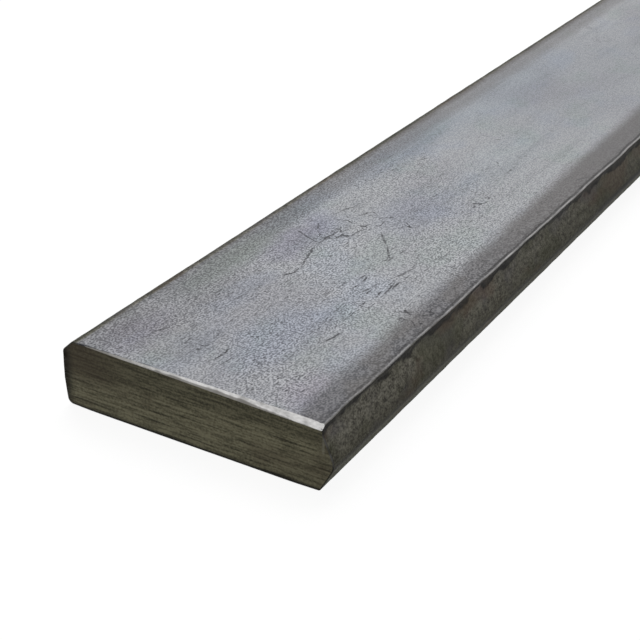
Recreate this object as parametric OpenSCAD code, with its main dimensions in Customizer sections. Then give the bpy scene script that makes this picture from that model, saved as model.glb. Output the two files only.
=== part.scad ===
// Hot rolled steel flat bar, sawn to length
// The bar lies on one broad face, with its length along X and its width along Y.
// The origin is the middle of the face that it lies on, and the filed end is at -X.

/* [Bar] */
// Length of the bar between its two saw cuts
bar_l = 500; // [100:1:6000]
// Width of the bar over its two rolled edges
bar_w = 50; // [30:0.5:150]
// Thickness of the bar in the middle of its broad faces
bar_t = 12; // [10:0.25:25]

/* [Broad faces] */
// Width of the band along each edge where a broad face falls away
shoulder_w = 4.6; // [1:0.1:8]
// How far a broad face has fallen away where it meets the edge
shoulder_drop = 0.15; // [0.05:0.01:0.4]

/* [Nosed edge] */
// Height of the nose, where this edge stands out the most
nose_z = 5.2; // [4:0.1:6]
// Radius of the nose
nose_r = 2.8; // [1:0.1:3]
// How far the lip at the top lies inside the nose
lip_in = 1.9; // [1:0.1:4]
// Height of the lip's upright face
lip_h = 2; // [0.8:0.1:2.5]
// Radius of the lip's top corner
lip_r = 0.3; // [0.1:0.05:0.6]
// How far the toe at the bottom lies inside the nose
toe_in = 2.2; // [1:0.1:4]
// Radius of the toe
toe_r = 0.4; // [0.1:0.05:0.8]

/* [Upright edge] */
// Width of the flat on the top corner, along the broad face
chamfer_w = 1.9; // [0.5:0.1:3]
// Height of the flat on the top corner, down the edge
chamfer_h = 1.9; // [0.5:0.1:3]
// Radius where the flat meets the broad face and the edge
chamfer_r = 1; // [0.2:0.1:1.2]
// Height at which the edge turns in towards the foot
foot_z = 4.7; // [3:0.1:6]
// How far the foot lies inside the edge
foot_in = 0.6; // [0.2:0.1:1.5]
// Radius of the foot
foot_r = 1.1; // [0.3:0.1:1.5]

/* [Filed end] */
// Height of the filed strip on the end, at the nosed edge
filed_nose_h = 1.3; // [0.5:0.05:2.5]
// Height of the filed strip on the end, at the upright edge
filed_upright_h = 0.1; // [0.05:0.05:0.5]
// Run of the filed strip along the top face, at the nosed edge
filed_run = 0.5; // [0.1:0.05:1]

/* [Hidden] */

// Flats on each rounded corner, and on each half of the nose
CORNER_STEPS = 5;
NOSE_STEPS = 5;
// Direction of the nose's outermost point from its centre
OUTERMOST = 180;

half_w = bar_w / 2;
nose_centre = [-half_w + nose_r, nose_z];
lip_foot = [-half_w + lip_in, bar_t - lip_h];
toe = [-half_w + toe_in, shoulder_drop];

// How much further the file reached at the nosed edge, and the angles that this gives its flat
filed_fall = filed_nose_h - filed_upright_h;
filed_tilt = atan2(filed_fall, bar_w);
filed_lean = atan2(filed_run, filed_nose_h * cos(filed_tilt));

function unit(v) = v / norm(v);

function turn(a, b) = a.x * b.y - a.y * b.x;

// Points of the arc that rounds corner b, which lies between a and c, to radius r
function rounded(a, b, c, r) =
    let (
        back = unit(a - b),
        on = unit(c - b),
        half_angle = acos(back * on) / 2,
        centre = b + unit(back + on) * r / sin(half_angle),
        first = b + back * r / tan(half_angle) - centre,
        side = turn(back, on) < 0 ? 1 : -1,
        start = atan2(first.y, first.x),
        sweep = side * (180 - 2 * half_angle)
    )
    [for (i = [0 : CORNER_STEPS])
        let (angle = start + sweep * i / CORNER_STEPS)
        centre + r * [cos(angle), sin(angle)]];

// Direction in which a straight line from point p touches the nose, on the given side of it
function touch_angle(p, side) =
    let (away = p - nose_centre)
    atan2(away.y, away.x) + side * acos(nose_r / norm(away));

// Points along the nose between two directions from its centre
function nose_points(from, to) =
    [for (i = [0 : NOSE_STEPS])
        let (angle = from + (to - from) * i / NOSE_STEPS)
        nose_centre + nose_r * [cos(angle), sin(angle)]];

// The nose, from where the lip's flank touches it, past its outermost point, to where the toe's flank does
upper_nose = nose_points(touch_angle(lip_foot, 1), OUTERMOST);
lower_nose = nose_points(OUTERMOST, touch_angle(toe, -1) + 360);

chamfer_top = [half_w - chamfer_w, bar_t - shoulder_drop];
chamfer_foot = [half_w, bar_t - shoulder_drop - chamfer_h];
foot_bend = [half_w, foot_z];
foot = [half_w - foot_in, shoulder_drop];
lip = [lip_foot.x, bar_t - shoulder_drop];
nose_top_shoulder = [lip.x + shoulder_w, bar_t];
nose_low_shoulder = [toe.x + shoulder_w, 0];
upright_top_shoulder = [chamfer_top.x - shoulder_w, bar_t];
upright_low_shoulder = [foot.x - shoulder_w, 0];

// Outline of the bar's section, seen from +X: Y is across the bar and Z is up
section = concat(
    [nose_low_shoulder, upright_low_shoulder],
    rounded(upright_low_shoulder, foot, foot_bend, foot_r),
    [foot_bend],
    rounded(foot_bend, chamfer_foot, chamfer_top, chamfer_r),
    rounded(chamfer_foot, chamfer_top, upright_top_shoulder, chamfer_r),
    [upright_top_shoulder, nose_top_shoulder],
    rounded(nose_top_shoulder, lip, lip_foot, lip_r),
    [lip_foot],
    upper_nose,
    [for (i = [1 : NOSE_STEPS]) lower_nose[i]],
    rounded(lower_nose[NOSE_STEPS], toe, nose_low_shoulder, toe_r)
);

// The rolled stock, laid along X
module rolled_stock() {
    rotate([90, 0, 90])
        linear_extrude(height = bar_l, center = true)
            polygon(section);
}

// What the file took off the top edge of the end at -X
module filed_away() {
    translate([-bar_l / 2, -half_w, bar_t - filed_nose_h])
        rotate([filed_tilt, 0, 0])
            rotate([0, filed_lean, 0])
                translate([-bar_t, -bar_t, -bar_t])
                    cube([bar_t, bar_w + 2 * bar_t, 2 * bar_t]);
}

module flat_bar() {
    color([0.36, 0.36, 0.37])
        difference() {
            rolled_stock();
            filed_away();
        }
}

flat_bar();
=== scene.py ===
"""Hot rolled steel flat bar: its rolled skin, its two sawn ends and the edge that a file took off."""

from __future__ import annotations

import logging
import math
from dataclasses import dataclass, fields
from enum import IntEnum
from typing import Callable, Union

import bmesh
import bpy
from mathutils import Euler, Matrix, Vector
from mathutils.geometry import delaunay_2d_cdt


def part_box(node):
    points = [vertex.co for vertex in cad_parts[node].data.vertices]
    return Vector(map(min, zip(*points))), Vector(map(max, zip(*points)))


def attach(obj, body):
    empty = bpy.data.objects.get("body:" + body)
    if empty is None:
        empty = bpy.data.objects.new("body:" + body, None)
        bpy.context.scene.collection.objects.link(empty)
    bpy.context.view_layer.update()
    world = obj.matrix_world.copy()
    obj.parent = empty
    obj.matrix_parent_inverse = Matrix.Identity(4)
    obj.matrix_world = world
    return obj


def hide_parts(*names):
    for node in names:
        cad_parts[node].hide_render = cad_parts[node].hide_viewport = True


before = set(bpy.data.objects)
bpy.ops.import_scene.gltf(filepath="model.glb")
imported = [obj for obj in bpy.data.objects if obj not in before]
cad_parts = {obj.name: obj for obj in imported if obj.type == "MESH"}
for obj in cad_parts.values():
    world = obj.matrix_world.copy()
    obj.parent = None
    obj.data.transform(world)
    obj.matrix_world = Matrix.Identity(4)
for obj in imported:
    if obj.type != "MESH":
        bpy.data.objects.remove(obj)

MM = 0.001
NODE = "flat_bar"
SKIN_MAP = "SkinMap"
BAKE_MAP = "OFBake"

# Places closer together than this are one place
TOUCHING = 0.01 * MM
# How the triangles of a flat face are made: only inside its rim, with points that differ by this much
INSIDE_ONLY = 1
SMALLEST = 1e-9
# A side of the section longer than this belongs to a broad face
BROAD_SIDE = 10 * MM
# How far from the lip the section's points lie closer together
LIP_REGION = 2 * MM
# The values from 0 to 1 that the bar's points hold, for the marks that are pressed into it
SHARES = ("skin_share", "edge_share", "lip_share", "groove_share", "hollow_share", "cut_share")
# The heights over which the marks of the upper face fade in
UPPER_HALF = (5 * MM, 7 * MM)
# How little the dull oxide reflects
SHEEN = 0.12
# The colour of the light, and of what stands behind the bar
WHITE = (1.0, 1.0, 1.0, 1.0)

log = logging.getLogger("flat_bar")

Colour = tuple[float, float, float]
Amount = Union["Wire", float]


class Patch(IntEnum):
    """The three kinds of surface that the bar has."""

    SKIN = 0
    SAWN = 1
    FILED = 2


class Wire:
    """A socket in a node tree, on which sums are written as sums."""

    def __init__(self, graph: Graph, socket: bpy.types.NodeSocket) -> None:
        """Wrap a socket.

        Args:
            graph: The tree that the socket is in.
            socket: The output socket to wrap.
        """
        self.graph = graph
        self.socket = socket

    def __add__(self, other: Amount) -> Wire:
        """Return self + other."""
        return self.graph.maths("ADD", self, other)

    def __radd__(self, other: Amount) -> Wire:
        """Return other + self."""
        return self.graph.maths("ADD", other, self)

    def __sub__(self, other: Amount) -> Wire:
        """Return self - other."""
        return self.graph.maths("SUBTRACT", self, other)

    def __rsub__(self, other: Amount) -> Wire:
        """Return other - self."""
        return self.graph.maths("SUBTRACT", other, self)

    def __mul__(self, other: Amount) -> Wire:
        """Return self * other."""
        return self.graph.maths("MULTIPLY", self, other)

    def __rmul__(self, other: Amount) -> Wire:
        """Return other * self."""
        return self.graph.maths("MULTIPLY", other, self)

    def __truediv__(self, other: Amount) -> Wire:
        """Return self / other."""
        return self.graph.maths("DIVIDE", self, other)

    def __rtruediv__(self, other: Amount) -> Wire:
        """Return other / self."""
        return self.graph.maths("DIVIDE", other, self)

    def __abs__(self) -> Wire:
        """Return the size of self without its sign."""
        return self.graph.maths("ABSOLUTE", self)

    def larger(self, other: Amount) -> Wire:
        """Return the larger of self and other."""
        return self.graph.maths("MAXIMUM", self, other)

    def rise(self, low: float, high: float) -> Wire:
        """Return a smooth step, from 0 below low to 1 above high."""
        return self.graph.eased(self, low, high)

    def fall(self, low: float, high: float) -> Wire:
        """Return a smooth step, from 1 below low to 0 above high."""
        return 1 - self.graph.eased(self, low, high)

    def band(self, low: float, high: float, soft: float) -> Wire:
        """Return 1 between low and high and 0 outside, with both sides softened."""
        return self.rise(low - soft, low + soft) * self.fall(high - soft, high + soft)


class Graph:
    """A node tree that is being built, of a material or of a modifier."""

    def __init__(self, tree: bpy.types.NodeTree) -> None:
        """Start on an empty tree.

        Args:
            tree: The tree, which loses any nodes that it has.
        """
        self.tree = tree
        tree.nodes.clear()

    @classmethod
    def of_material(cls, name: str) -> tuple[bpy.types.Material, Graph]:
        """Make a material.

        Args:
            name: The material's name.

        Returns:
            The material and its empty tree.
        """
        material = bpy.data.materials.new(name)
        material.use_nodes = True
        return material, cls(material.node_tree)

    def node(
        self,
        kind: str,
        settings: dict[str, object] | None = None,
        inputs: dict[str | int, object] | None = None,
    ) -> bpy.types.Node:
        """Add one node.

        Args:
            kind: The node's type.
            settings: Its own properties, which are set first.
            inputs: Values or links for its sockets, by name or by number.

        Returns:
            The new node.
        """
        made = self.tree.nodes.new(kind)
        for name, value in (settings or {}).items():
            setattr(made, name, value)
        for key, value in (inputs or {}).items():
            socket = made.inputs[key]
            if isinstance(value, Wire):
                self.tree.links.new(value.socket, socket)
            else:
                socket.default_value = value
        return made

    def wire(self, node: bpy.types.Node, output: str | int = 0) -> Wire:
        """Return a node's output, wrapped."""
        return Wire(self, node.outputs[output])

    def place(self) -> Wire:
        """Return the place on the bar, in metres."""
        return self.wire(self.node("ShaderNodeTexCoord"), "Object")

    def surfaced(self, height: Wire, relief: float, strength: float, finish: dict[str, object]) -> None:
        """End a material's tree with one shader.

        Args:
            height: The pattern that its fine relief follows.
            relief: Depth of that relief, in metres.
            strength: How much of the relief shows, from 0 to 1.
            finish: The shader's colour and its other values.
        """
        inputs = {"Strength": strength, "Distance": relief, "Height": height}
        bump = self.node("ShaderNodeBump", inputs=inputs)
        shader = self.node("ShaderNodeBsdfPrincipled", inputs={**finish, "Normal": self.wire(bump)})
        self.node("ShaderNodeOutputMaterial", inputs={"Surface": self.wire(shader)})

    def maths(self, operation: str, *values: Amount) -> Wire:
        """Add a Math node and return its result."""
        inputs = dict(enumerate(values))
        return self.wire(self.node("ShaderNodeMath", {"operation": operation}, inputs))

    def vectors(self, operation: str, *values: object) -> Wire:
        """Add a Vector Math node and return its result."""
        inputs = dict(enumerate(values))
        return self.wire(self.node("ShaderNodeVectorMath", {"operation": operation}, inputs))

    def eased(self, value: Amount, low: float, high: float) -> Wire:
        """Add a smooth step.

        Args:
            value: What is eased.
            low: Where the step starts, at 0.
            high: Where it ends, at 1.

        Returns:
            The eased value.
        """
        inputs = {"Value": value, "From Min": low, "From Max": high}
        settings = {"interpolation_type": "SMOOTHSTEP"}
        return self.wire(self.node("ShaderNodeMapRange", settings, inputs))

    def split(self, vector: Wire) -> tuple[Wire, Wire, Wire]:
        """Return the three parts of a vector."""
        parts = self.node("ShaderNodeSeparateXYZ", inputs={0: vector})
        return self.wire(parts, 0), self.wire(parts, 1), self.wire(parts, 2)

    def joined(self, x: Amount, y: Amount, z: Amount) -> Wire:
        """Return a vector made of three numbers."""
        return self.wire(self.node("ShaderNodeCombineXYZ", inputs={0: x, 1: y, 2: z}))

    def mixed(self, share: Amount, first: Wire | Colour, second: Wire | Colour) -> Wire:
        """Mix two colours.

        Args:
            share: How much of the second shows, from 0 to 1.
            first: The colour at 0.
            second: The colour at 1.

        Returns:
            The mixed colour.
        """
        first, second = (c if isinstance(c, Wire) else (*c, 1.0) for c in (first, second))
        inputs = {0: share, 6: first, 7: second}
        return self.wire(self.node("ShaderNodeMix", {"data_type": "RGBA"}, inputs), 2)

    def tinted(self, share: Amount, colour: Wire, tint: Colour) -> Wire:
        """Multiply a colour by a tint.

        Args:
            share: How much of the tint shows, from 0 to 1.
            colour: The colour under it.
            tint: What the colour is multiplied by.

        Returns:
            The tinted colour.
        """
        inputs = {0: share, 6: colour, 7: (*tint, 1.0)}
        settings = {"data_type": "RGBA", "blend_type": "MULTIPLY"}
        return self.wire(self.node("ShaderNodeMix", settings, inputs), 2)

    def noise(
        self,
        place: Wire,
        size: float,
        detail: float = 2.0,
        seed: float = 0.0,
        stretch: tuple[float, float, float] = (1.0, 1.0, 1.0),
        rough: float = 0.5,
    ) -> Wire:
        """Add a cloudy pattern.

        Args:
            place: Where the pattern is read, in metres.
            size: The size of its largest lumps, in metres.
            detail: How many finer layers it has.
            seed: Picks one of many like patterns.
            stretch: How much longer the lumps are along each axis.
            rough: How strong each finer layer is.

        Returns:
            The pattern, mostly from 0.3 to 0.7.
        """
        finer = tuple(1.0 / (size * s) for s in stretch)
        read = self.vectors("MULTIPLY", place, finer)
        inputs = {"Vector": read, "W": seed, "Scale": 1.0, "Detail": detail, "Roughness": rough}
        return self.wire(self.node("ShaderNodeTexNoise", {"noise_dimensions": "4D"}, inputs))

    def strokes(
        self,
        place: Wire,
        cell: tuple[float, float, float],
        share: float,
        reach: float,
        seed: float,
        flat: bool = False,
    ) -> Wire:
        """Add short marks, each one alone in its own cell.

        Args:
            place: Where the marks are read, in metres.
            cell: The size of a cell along each axis, in metres.
            share: How many of the cells hold a mark, from 0 to 1.
            reach: A mark's half size, as a share of its cell.
            seed: Picks one of many like patterns.
            flat: Whether the cells lie along X and Y only, so that no mark is met beside its middle.

        Returns:
            1 in the middle of a mark, and 0 away from it.
        """
        read = self.vectors("MULTIPLY", place, tuple(1.0 / c for c in cell))
        if flat:
            inputs = {"Vector": self.vectors("ADD", read, (seed, seed, 0.0)), "Scale": 1.0}
        else:
            inputs = {"Vector": read, "W": seed, "Scale": 1.0}
        settings = {"voronoi_dimensions": "2D" if flat else "4D"}
        cells = self.node("ShaderNodeTexVoronoi", settings, inputs)
        chance, _, _ = self.split(self.wire(cells, "Color"))
        least = 1.0 - share
        kept = chance.rise(least - 0.001, least + 0.001)
        return kept * self.wire(cells, "Distance").fall(reach * 0.3, reach)

    def oval(
        self,
        place: Wire,
        centre: tuple[float, float],
        half: tuple[float, float],
        angle: float = 0.0,
    ) -> Wire:
        """Measure how far a place lies from the middle of an oval.

        Args:
            place: The place, in metres, without its height.
            centre: The oval's middle.
            half: Half its length and half its width.
            angle: How far it is turned.

        Returns:
            0 in its middle and 1 on its rim.
        """
        inputs = {
            "Vector": place,
            "Location": (*centre, 0.0),
            "Rotation": (0.0, 0.0, angle),
            "Scale": (*half, 1.0),
        }
        local = self.wire(self.node("ShaderNodeMapping", {"vector_type": "TEXTURE"}, inputs))
        return self.wire(self.node("ShaderNodeVectorMath", {"operation": "LENGTH"}, {0: local}), "Value")


@dataclass(frozen=True)
class Steps:
    """How far apart the points of the bar's section may be.

    Attributes:
        upper: On the upper face.
        lower: On the lower face.
        edge: On the rolled edges.
        lip: Beside the lip.
    """

    upper: float = 1.15 * MM
    lower: float = 1.6 * MM
    edge: float = 0.62 * MM
    lip: float = 0.27 * MM


@dataclass(frozen=True)
class Section:
    """The outline of the bar's section, as a ring of points that starts in the middle of the lower face.

    Attributes:
        points: Y and Z of each point, in metres, down the nosed edge's side first.
        outward: The direction that faces out of the bar at each point.
        girth: How far along the ring each point lies from the lip, with the first point again at the end.
        top_width: How far the upright edge's corner lies from the lip.
        nosed_length: How far the toe lies from the lip, down the nosed edge.
        upright_length: How far the foot lies from the upright edge's corner.
    """

    points: tuple[Vector, ...]
    outward: tuple[Vector, ...]
    girth: tuple[float, ...]
    top_width: float
    nosed_length: float
    upright_length: float

    @classmethod
    def of_solid(cls, mesh: bpy.types.Mesh, steps: Steps) -> Section:
        """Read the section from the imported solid's plain end.

        Args:
            mesh: The solid's mesh.
            steps: How far apart the section's points may be.

        Returns:
            The section, with points added along its sides.
        """
        end = max(v.co.x for v in mesh.vertices)
        at_end = [v.co for v in mesh.vertices if end - v.co.x < TOUCHING]
        on_end = {(round(co.y, 7), round(co.z, 7)) for co in at_end}
        middle_z = max(z for _, z in on_end) / 2
        corners = [Vector(c) for c in sorted(on_end, key=lambda c: -math.atan2(c[1] - middle_z, c[0]))]
        coarse: list[Vector] = []
        for a, b in zip(corners, corners[1:] + corners[:1]):
            broad = steps.upper if a.y > middle_z else steps.lower
            coarse += cls._split(a, b, broad if (b - a).length > BROAD_SIDE else steps.edge)
        lip = cls._furthest(coarse, -1, 1)
        ring: list[Vector] = []
        for a, b in zip(coarse, coarse[1:] + coarse[:1]):
            close = (a.lerp(b, 0.5) - lip).length < LIP_REGION
            ring += cls._split(a, b, steps.lip) if close else [a]
        low = [i for i, p in enumerate(ring) if p.y <= middle_z]
        start = min(low, key=lambda i: abs(ring[i].x))
        ring = cls._softened(ring[start:] + ring[:start])
        reach = [0.0]
        for a, b in zip(ring, ring[1:] + ring[:1]):
            reach.append(reach[-1] + (b - a).length)
        # The directions in which the lip, the toe, the chamfer and the foot lie furthest, across and up
        ways = ((-1, 1), (-1, -1), (1, 2), (1, -1))
        at_lip, at_toe, at_chamfer, at_foot = (reach[ring.index(cls._furthest(ring, *w))] for w in ways)
        return cls(
            points=tuple(ring),
            outward=tuple(cls._outward(ring, i) for i in range(len(ring))),
            girth=tuple(r - at_lip for r in reach),
            top_width=at_chamfer - at_lip,
            nosed_length=at_lip - at_toe,
            upright_length=at_foot - at_chamfer,
        )

    @staticmethod
    def _furthest(ring: list[Vector], across: float, up: float) -> Vector:
        """Return the ring's point that lies furthest in one direction."""
        return max(ring, key=lambda p: p.x * across + p.y * up)

    @staticmethod
    def _split(a: Vector, b: Vector, step: float) -> list[Vector]:
        """Return points from a up to b, without b, at most step apart."""
        count = max(1, math.ceil((b - a).length / step))
        return [a.lerp(b, i / count) for i in range(count)]

    @staticmethod
    def _outward(ring: list[Vector], i: int) -> Vector:
        """Return the direction that faces out of the bar at one point of the ring."""
        along = ring[(i + 1) % len(ring)] - ring[i - 1]
        return Vector((-along.y, along.x)).normalized()

    @staticmethod
    def _softened(ring: list[Vector], passes: int = 4, slope: float = 0.06) -> list[Vector]:
        """Ease the broad faces' bends, which rolling leaves soft, without moving the corners.

        Args:
            ring: The section's points.
            passes: How often the bends are eased.
            slope: The steepest side that is still part of a broad face.

        Returns:
            The eased points.
        """
        for _ in range(passes):
            eased = list(ring)
            for i, p in enumerate(ring):
                a, b = ring[i - 1], ring[(i + 1) % len(ring)]
                if max(abs(p.y - a.y), abs(b.y - p.y)) < slope * min(abs(p.x - a.x), abs(b.x - p.x)):
                    eased[i] = Vector((p.x, (a.y + 2 * p.y + b.y) / 4))
            ring = eased
        return ring


@dataclass
class FlatBar:
    """The bar itself, as one closed mesh.

    Attributes:
        near_step: Distance between rings at the filed end.
        far_step: Distance between rings at the plain end.
        broken: How far the saw's sharp corners are broken.
        filed_nose_h: Height of the filed strip at the nosed edge.
        filed_upright_h: Height of the filed strip at the upright edge.
        filed_run: Run of the filed strip along the top, at the nosed edge.
        saw_pitch: Distance between the saw's marks.
        saw_depth: Depth of the saw's marks.
        strips: How many lengths the bar is cut into on its bake map, in two columns.
        map_gap: Gap between the lengths on the bake map.
        saw_step: How far apart a sawn face's points are along a row, and from row to row.
        file_step: The same on the filed strip.
        lip_reach: How far to both sides of the lip the skin moves with it.
        groove: Where the lap's groove lies inside the lip, and half its width.
        hollow: Where the lumpy hollow lies under the lip, and half its width.
    """

    near_step: float = 0.5 * MM
    far_step: float = 1.6 * MM
    broken: float = 0.15 * MM
    filed_nose_h: float = 1.3 * MM
    filed_upright_h: float = 0.1 * MM
    filed_run: float = 0.5 * MM
    saw_pitch: float = 0.9 * MM
    saw_depth: float = 0.045 * MM
    strips: int = 4
    map_gap: float = 1.5 * MM
    saw_step: tuple[float, float] = (1.0 * MM, 0.12 * MM)
    file_step: tuple[float, float] = (0.8 * MM, 0.25 * MM)
    lip_reach: float = 3 * MM
    groove: tuple[float, float] = (0.75 * MM, 0.26 * MM)
    hollow: tuple[float, float] = (-1.1 * MM, 0.6 * MM)

    def __post_init__(self) -> None:
        """Take the bar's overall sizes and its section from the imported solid."""
        self.low, self.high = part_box(NODE)
        self.length = self.high.x - self.low.x
        self.section = Section.of_solid(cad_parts[NODE].data, Steps())
        self.perimeter = self.section.girth[-1] - self.section.girth[0]
        self.strip_length = self.length / self.strips
        columns = 2 * (self.perimeter + self.map_gap) + self.map_gap
        self.map_side = columns + (self.high.z - self.low.z) + self.map_gap

    def rings(self) -> list[tuple[float, float]]:
        """Place the rings along the bar, closest together at the filed end.

        Returns:
            Each ring's distance from the filed end, and how far it is drawn in.
        """
        e = self.broken
        part = 0.3 * e
        inner = self.length - 2 * e
        count = round(2 * inner / (self.near_step + self.far_step))
        growth = self.far_step - self.near_step
        whole = self.near_step + growth / 2
        shares = [i / count for i in range(count + 1)]
        middle = [(e + inner * (self.near_step * u + growth * u * u / 2) / whole, 0.0) for u in shares]
        return [(0.0, e), (part, part), *middle, (self.length - part, part), (self.length, e)]

    def build(self) -> bpy.types.Object:
        """Make the bar's mesh, before the rolls and the saw leave their marks in it.

        Returns:
            The bar, with its maps and the values that its modifier reads.
        """
        bm = bmesh.new()
        self._add_layers(bm)
        self._add_stock(bm)
        self._file_top_edge(bm)
        self._close_end(bm, self.high.x)
        bmesh.ops.recalc_face_normals(bm, faces=bm.faces)
        patch = bm.faces.layers.int["patch"]
        for edge in bm.edges:
            edge.smooth = len({f[patch] for f in edge.link_faces}) == 1
        for face in bm.faces:
            face.smooth = True
        mesh = bpy.data.meshes.new("bar")
        bm.to_mesh(mesh)
        bm.free()
        bar = bpy.data.objects.new("bar", mesh)
        bpy.context.scene.collection.objects.link(bar)
        return bar

    @staticmethod
    def _add_layers(bm: bmesh.types.BMesh) -> None:
        """Give the mesh its maps and its named values.

        Args:
            bm: The mesh.
        """
        for name in (SKIN_MAP, BAKE_MAP):
            bm.loops.layers.uv.new(name)
        bm.verts.layers.float_vector.new("outward")
        for name in SHARES:
            bm.verts.layers.float.new(name)
        bm.faces.layers.int.new("patch")

    def _add_stock(self, bm: bmesh.types.BMesh) -> None:
        """Add the rolled skin, as an open tube of rings.

        Args:
            bm: The mesh.
        """
        skin, edge, lip, groove, hollow, cut = (bm.verts.layers.float[n] for n in SHARES)
        out_layer = bm.verts.layers.float_vector["outward"]
        s = self.section
        count = len(s.points)
        rows: list[list[bmesh.types.BMVert]] = []
        rings = self.rings()
        for reach, drawn_in in rings:
            row = []
            for i, (point, out) in enumerate(zip(s.points, s.outward)):
                at = point - out * drawn_in
                vert = bm.verts.new((self.low.x + reach, at.x, at.y))
                vert[out_layer] = (0.0, out.x, out.y)
                vert[skin] = 1.0
                vert[edge] = min(1.0, abs(out.x) * 2)
                vert[lip] = max(0.0, 1.0 - abs(s.girth[i]) / self.lip_reach) ** 0.5
                vert[groove] = self._bell(s.girth[i], self.groove)
                vert[hollow] = self._bell(s.girth[i], self.hollow)
                vert[cut] = 0.5 if drawn_in == self.broken else 0.0
                row.append(vert)
            rows.append(row)
        for (reach, _), (next_reach, _), row, next_row in zip(rings, rings[1:], rows, rows[1:]):
            for i in range(count):
                j = (i + 1) % count
                face = bm.faces.new((row[i], next_row[i], next_row[j], row[j]))
                low, high = s.girth[i], s.girth[i + 1]
                places = ((low, reach), (low, next_reach), (high, next_reach), (high, reach))
                self._map_skin(bm, face, places)

    @staticmethod
    def _bell(girth: float, spread: tuple[float, float]) -> float:
        """Return a rounded share, 1 at the first value of spread and fading over the second."""
        return math.exp(-(((girth - spread[0]) / spread[1]) ** 2))

    def _map_skin(
        self,
        bm: bmesh.types.BMesh,
        face: bmesh.types.BMFace,
        places: tuple[tuple[float, float], ...],
    ) -> None:
        """Lay one face of the skin on both maps.

        Args:
            bm: The mesh.
            face: The face.
            places: Girth and distance from the filed end, for each of its corners.
        """
        skin_map, bake_map = (bm.loops.layers.uv[n] for n in (SKIN_MAP, BAKE_MAP))
        middle = sum(p[1] for p in places) / len(places)
        strip = min(self.strips - 1, int(middle / self.strip_length))
        rows = self.strips // 2
        left = self.map_gap + (strip // rows) * (self.perimeter + self.map_gap)
        foot = self.map_gap + (strip % rows) * (self.strip_length + 2 * self.map_gap)
        for loop, (girth, reach) in zip(face.loops, places):
            loop[skin_map].uv = (girth, reach)
            across = left + girth - self.section.girth[0]
            up = foot + reach - strip * self.strip_length
            loop[bake_map].uv = (across / self.map_side, up / self.map_side)

    def _filed_plane(self) -> tuple[Vector, Vector]:
        """Place the filed strip.

        Returns:
            A point on its plane, and the direction that it faces.
        """
        nose = Vector((self.low.x, self.low.y, self.high.z - self.filed_nose_h))
        upright = Vector((self.low.x, self.high.y, self.high.z - self.filed_upright_h))
        top = Vector((self.low.x + self.filed_run, self.low.y, self.high.z))
        facing = (top - nose).cross(upright - nose).normalized()
        return nose, facing if facing.x < 0 else -facing

    def _file_top_edge(self, bm: bmesh.types.BMesh) -> None:
        """Cut the top edge off the end at -X, and close that end with its sawn face and the filed strip.

        Args:
            bm: The mesh.
        """
        point, facing = self._filed_plane()
        near = [v for v in bm.verts if v.co.x < self.low.x + 3 * MM]
        # Dictionaries, not sets, because they keep their order from run to run
        faces = dict.fromkeys(f for v in near for f in v.link_faces)
        edges = dict.fromkeys(e for f in faces for e in f.edges)
        verts = dict.fromkeys(v for f in faces for v in f.verts)
        bmesh.ops.bisect_plane(
            bm,
            geom=[*verts, *edges, *faces],
            dist=0.001 * MM,
            plane_co=point,
            plane_no=facing,
            clear_outer=True,
        )
        loop = self._open_loop(bm, self.low.x)
        on_plane = [abs((v.co - point).dot(facing)) < 0.003 * MM for v in loop]
        on_end = [v.co.x - self.low.x < 0.002 * MM for v in loop]
        joints = [i for i in range(len(loop)) if on_plane[i] and on_end[i]]
        first, last = min(joints), max(joints)
        if on_plane[(first + last) // 2]:
            filed, sawn = loop[first : last + 1], loop[last:] + loop[: first + 1]
        else:
            sawn, filed = loop[first : last + 1], loop[last:] + loop[: first + 1]
        ridge = self._ridge(bm, filed[0], filed[-1])
        up = Vector((0, 0, 1))
        self._fill(bm, filed + ridge[::-1], facing, up, Patch.FILED, self.file_step)
        self._fill(bm, sawn + ridge, Vector((-1, 0, 0)), up, Patch.SAWN, self.saw_step)

    def _ridge(
        self, bm: bmesh.types.BMesh, start: bmesh.types.BMVert, end: bmesh.types.BMVert
    ) -> list[bmesh.types.BMVert]:
        """Add the straight edge between the sawn face and the filed strip, without its two ends."""
        count = math.ceil((end.co - start.co).length / self.file_step[0])
        return [bm.verts.new(start.co.lerp(end.co, i / count)) for i in range(1, count)]

    def _close_end(self, bm: bmesh.types.BMesh, x: float) -> None:
        """Close the plain end with its sawn face."""
        loop = self._open_loop(bm, x)
        self._fill(bm, loop, Vector((1, 0, 0)), Vector((0, 0, 1)), Patch.SAWN, self.saw_step)

    @staticmethod
    def _open_loop(bm: bmesh.types.BMesh, x: float) -> list[bmesh.types.BMVert]:
        """Find the open edge of the skin at one end.

        Args:
            bm: The mesh.
            x: Where that end stands.

        Returns:
            The edge's points, in order around it.
        """
        rim = [e for e in bm.edges if e.is_boundary and abs(e.verts[0].co.x - x) < 5 * MM]
        vert = rim[0].verts[0]
        left = set(rim)
        loop = []
        while left:
            loop.append(vert)
            edge = next((e for e in vert.link_edges if e in left), None)
            if edge is None:
                break
            left.discard(edge)
            vert = edge.other_vert(vert)
        return loop

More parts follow.
